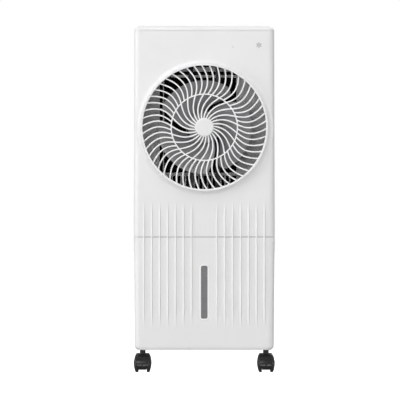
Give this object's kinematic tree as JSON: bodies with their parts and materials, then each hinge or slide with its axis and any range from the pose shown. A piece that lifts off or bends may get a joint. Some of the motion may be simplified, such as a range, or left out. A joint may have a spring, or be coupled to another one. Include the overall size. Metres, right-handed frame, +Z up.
{
  "type": "evaporative cooler",
  "caption": "Tall white portable evaporative cooler: round ribbed fan guard above, fluted water-tank base with level window, rear louvred inlet, swivel casters.",
  "frame": {"origin": "on the floor, under the middle of the bounding box", "axes": "+Z up, the front with the fan guard faces -Y, +X to the viewer's right"},
  "size_m": [0.3028, 0.28, 0.7425],
  "materials": {
    "housing_white": "satin white ABS with a very fine moulded texture",
    "pale_plastic": "plain pale grey moulded polypropylene",
    "blade_grey": "mid grey glossy polypropylene",
    "black_plastic": "black nylon, low sheen",
    "wheel_black": "black nylon tread, low sheen",
    "panel_black": "gloss black touch fascia",
    "window_grey": "smoke grey smooth window",
    "light_guide": "translucent white light guide",
    "tank_plastic": "natural translucent polypropylene",
    "hose_vinyl": "clear soft vinyl hose",
    "pad_paper": "corrugated cellulose cooling pad",
    "filter_mesh": "woven nylon dust mesh",
    "circuit_board": "green solder mask",
    "steel": "bright zinc-plated steel",
    "dark_steel": "dark lacquered steel"
  },
  "bodies": {
    "housing": {"front_shell": "housing_white", "rear_shell": "housing_white", "top_cover": "housing_white", "base_shell": "housing_white", "handle_cup_left": "housing_white", "handle_cup_right": "housing_white", "cord_gland": "black_plastic", "indicator_lens": "light_guide", "receiver_window": "light_guide", "level_window": "window_grey", "control_panel": "panel_black", "display_lens": "window_grey", "control_board": "circuit_board", "front_grille": "housing_white", "grille_cap": "housing_white", "motor_housing": "dark_steel", "motor_mount": "dark_steel", "inner_frame": "housing_white", "capacitor": "pale_plastic", "pad_frame": "pale_plastic", "cooling_pad": "pad_paper", "water_distributor": "pale_plastic", "water_hose": "hose_vinyl", "water_pump": "black_plastic", "pump_hanger": "pale_plastic", "deck": "pale_plastic", "latch_pin": "steel"},
    "fan": {"fan_blades": "blade_grey", "fan_nut": "black_plastic", "motor_shaft": "steel"},
    "back_cover": {"rear_grille": "housing_white", "dust_filter": "filter_mesh"},
    "tank": {"water_tank": "tank_plastic", "tank_panel": "housing_white"},
    "plug": {"drain_plug": "black_plastic"},
    "latch": {"tank_latch": "housing_white"},
    "power_button": {"button_power": "pale_plastic"},
    "speed_button": {"button_speed": "pale_plastic"},
    "cool_button": {"button_cool": "pale_plastic"},
    "timer_button": {"button_timer": "pale_plastic"},
    "caster_front_left": {"caster_front_left_hood": "black_plastic", "caster_front_left_stem": "dark_steel", "caster_front_left_axle": "steel"},
    "wheel_front_left_left": {"caster_front_left_wheel_left": "wheel_black"},
    "wheel_front_left_right": {"caster_front_left_wheel_right": "wheel_black"},
    "caster_front_right": {"caster_front_right_hood": "black_plastic", "caster_front_right_stem": "dark_steel", "caster_front_right_axle": "steel"},
    "wheel_front_right_left": {"caster_front_right_wheel_left": "wheel_black"},
    "wheel_front_right_right": {"caster_front_right_wheel_right": "wheel_black"},
    "caster_rear_left": {"caster_rear_left_hood": "black_plastic", "caster_rear_left_stem": "dark_steel", "caster_rear_left_axle": "steel"},
    "wheel_rear_left_left": {"caster_rear_left_wheel_left": "wheel_black"},
    "wheel_rear_left_right": {"caster_rear_left_wheel_right": "wheel_black"},
    "caster_rear_right": {"caster_rear_right_hood": "black_plastic", "caster_rear_right_stem": "dark_steel", "caster_rear_right_axle": "steel"},
    "wheel_rear_right_left": {"caster_rear_right_wheel_left": "wheel_black"},
    "wheel_rear_right_right": {"caster_rear_right_wheel_right": "wheel_black"}
  },
  "joints": [
    {"name": "fan_spin", "type": "hinge", "parent": "housing", "child": "fan", "pos_m": [0, -0.09, 0.5251], "axis": [0, 1, 0], "continuous": true},
    {"name": "back_cover_tilt", "type": "hinge", "parent": "housing", "child": "back_cover", "pos_m": [0, 0.1356, 0.4], "axis": [-1, 0, 0], "range_deg": [0, 70]},
    {"name": "tank_slide", "type": "slide", "parent": "housing", "child": "tank", "axis": [0, 1, 0], "range_m": [0, 0.18]},
    {"name": "drain_plug_pull", "type": "slide", "parent": "tank", "child": "plug", "axis": [0, 1, 0], "range_m": [0, 0.02]},
    {"name": "tank_latch_turn", "type": "hinge", "parent": "housing", "child": "latch", "pos_m": [0, 0.1377, 0.303], "axis": [0, 1, 0], "range_deg": [0, 90]},
    {"name": "power_button_press", "type": "slide", "parent": "housing", "child": "power_button", "axis": [0, 0, -1], "range_m": [0, 0.001], "stiffness_N_per_m": 600, "springref_m": -0.0005},
    {"name": "speed_button_press", "type": "slide", "parent": "housing", "child": "speed_button", "axis": [0, 0, -1], "range_m": [0, 0.001], "stiffness_N_per_m": 600, "springref_m": -0.0005},
    {"name": "cool_button_press", "type": "slide", "parent": "housing", "child": "cool_button", "axis": [0, 0, -1], "range_m": [0, 0.001], "stiffness_N_per_m": 600, "springref_m": -0.0005},
    {"name": "timer_button_press", "type": "slide", "parent": "housing", "child": "timer_button", "axis": [0, 0, -1], "range_m": [0, 0.001], "stiffness_N_per_m": 600, "springref_m": -0.0005},
    {"name": "caster_front_left_swivel", "type": "hinge", "parent": "housing", "child": "caster_front_left", "pos_m": [-0.1324, -0.1, 0.05], "axis": [0, 0, 1], "continuous": true},
    {"name": "wheel_front_left_left_roll", "type": "hinge", "parent": "caster_front_left", "child": "wheel_front_left_left", "pos_m": [-0.1461, -0.112, 0.0188], "axis": [1, 0, 0], "continuous": true},
    {"name": "wheel_front_left_right_roll", "type": "hinge", "parent": "caster_front_left", "child": "wheel_front_left_right", "pos_m": [-0.1187, -0.112, 0.0188], "axis": [1, 0, 0], "continuous": true},
    {"name": "caster_front_right_swivel", "type": "hinge", "parent": "housing", "child": "caster_front_right", "pos_m": [0.1324, -0.1, 0.05], "axis": [0, 0, 1], "continuous": true},
    {"name": "wheel_front_right_left_roll", "type": "hinge", "parent": "caster_front_right", "child": "wheel_front_right_left", "pos_m": [0.1187, -0.112, 0.0188], "axis": [1, 0, 0], "continuous": true},
    {"name": "wheel_front_right_right_roll", "type": "hinge", "parent": "caster_front_right", "child": "wheel_front_right_right", "pos_m": [0.1461, -0.112, 0.0188], "axis": [1, 0, 0], "continuous": true},
    {"name": "caster_rear_left_swivel", "type": "hinge", "parent": "housing", "child": "caster_rear_left", "pos_m": [-0.1324, 0.1, 0.05], "axis": [0, 0, 1], "continuous": true},
    {"name": "wheel_rear_left_left_roll", "type": "hinge", "parent": "caster_rear_left", "child": "wheel_rear_left_left", "pos_m": [-0.1461, 0.088, 0.0188], "axis": [1, 0, 0], "continuous": true},
    {"name": "wheel_rear_left_right_roll", "type": "hinge", "parent": "caster_rear_left", "child": "wheel_rear_left_right", "pos_m": [-0.1187, 0.088, 0.0188], "axis": [1, 0, 0], "continuous": true},
    {"name": "caster_rear_right_swivel", "type": "hinge", "parent": "housing", "child": "caster_rear_right", "pos_m": [0.1324, 0.1, 0.05], "axis": [0, 0, 1], "continuous": true},
    {"name": "wheel_rear_right_left_roll", "type": "hinge", "parent": "caster_rear_right", "child": "wheel_rear_right_left", "pos_m": [0.1187, 0.088, 0.0188], "axis": [1, 0, 0], "continuous": true},
    {"name": "wheel_rear_right_right_roll", "type": "hinge", "parent": "caster_rear_right", "child": "wheel_rear_right_right", "pos_m": [0.1461, 0.088, 0.0188], "axis": [1, 0, 0], "continuous": true}
  ]
}
